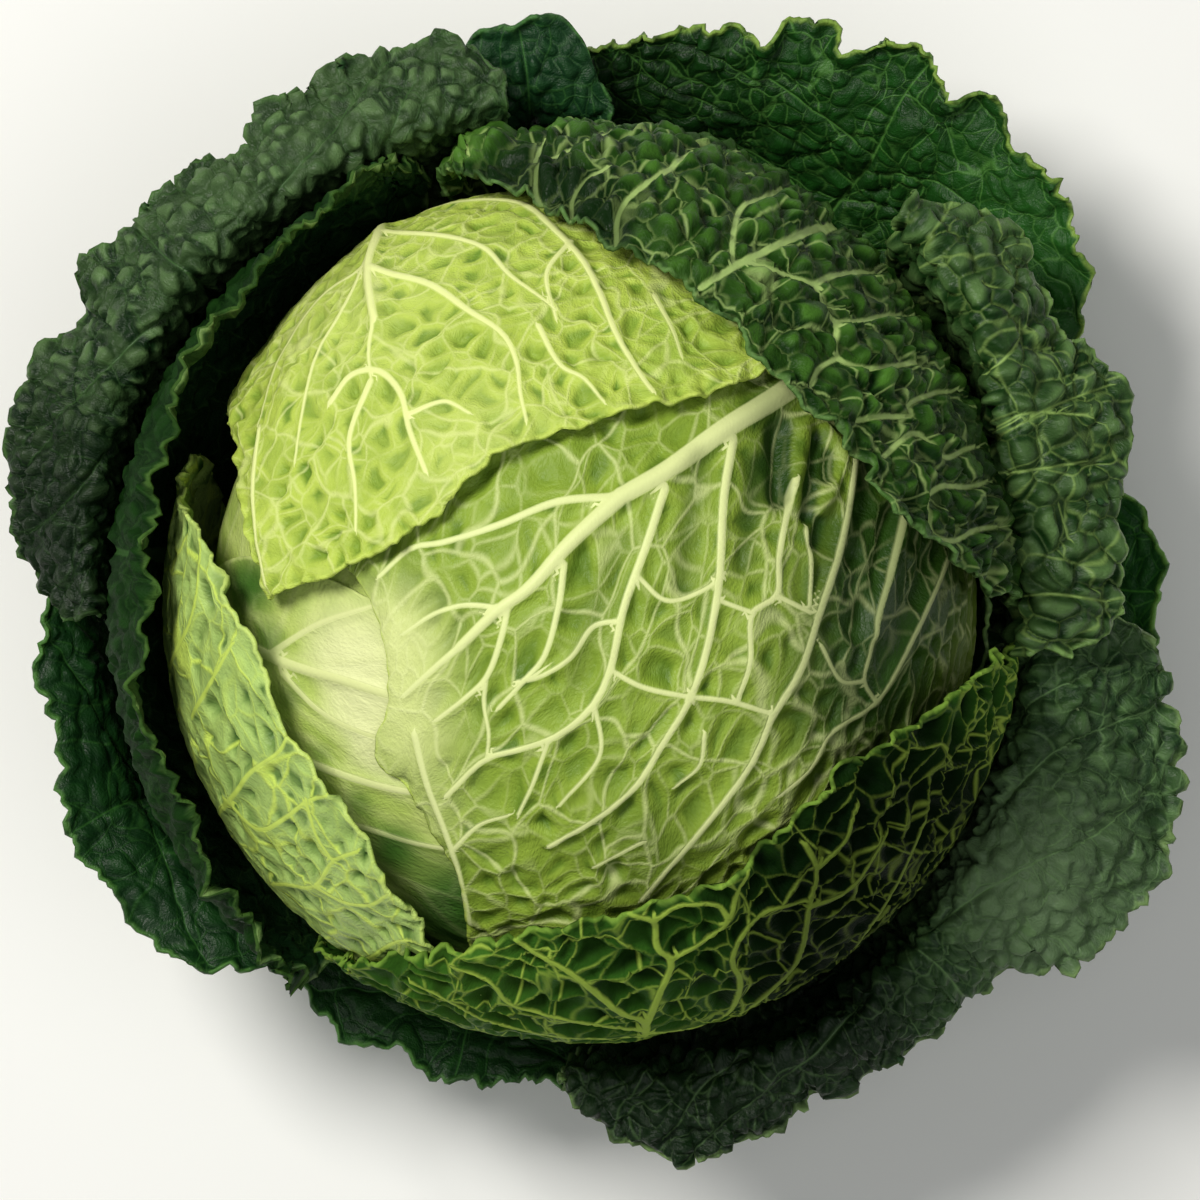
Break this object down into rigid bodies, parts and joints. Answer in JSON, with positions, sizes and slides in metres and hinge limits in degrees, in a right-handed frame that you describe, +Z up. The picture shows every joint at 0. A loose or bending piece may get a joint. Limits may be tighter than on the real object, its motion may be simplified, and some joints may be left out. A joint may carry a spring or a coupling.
{
  "type": "savoy cabbage",
  "caption": "Whole savoy cabbage, a round head of crinkled veined leaves inside a ring of loose dark outer leaves, standing on its cut stump.",
  "frame": {"origin": "centre of the cut face of the stump, which is the face the cabbage stands on", "axes": "+Z up along the stem through the crown of the head, +X and +Y level, with the large folded-over dark leaf at about 56 degrees from +X towards +Y"},
  "size_m": [0.2578, 0.2517, 0.1714],
  "materials": {
    "head_leaf": "pale lime green living leaf, slightly waxy, with pale yellow-green veins",
    "wrapper_leaf": "dark green living leaf, waxy and moist, with pale green veins",
    "outer_leaf": "deep blue-green living leaf with a grey waxy bloom and pale green veins",
    "stem": "cut stem, pale cream green, moist and fibrous"
  },
  "bodies": {
    "root": {"stump": "stem", "heart": "head_leaf", "head_leaf_centre": "head_leaf", "head_leaf_upper_left": "head_leaf", "head_leaf_left": "head_leaf", "head_leaf_bottom": "wrapper_leaf", "head_leaf_folded": "wrapper_leaf", "wrapper_leaf_right": "wrapper_leaf", "wrapper_leaf_left": "wrapper_leaf", "outer_leaf_upper_left": "outer_leaf", "outer_leaf_right": "outer_leaf", "outer_leaf_lower_left": "outer_leaf", "outer_leaf_lower_right": "outer_leaf", "small_leaf_top": "outer_leaf", "outer_leaf_upper_right": "outer_leaf", "outer_leaf_bottom": "outer_leaf", "rear_leaf_right": "outer_leaf"}
  },
  "joints": []
}
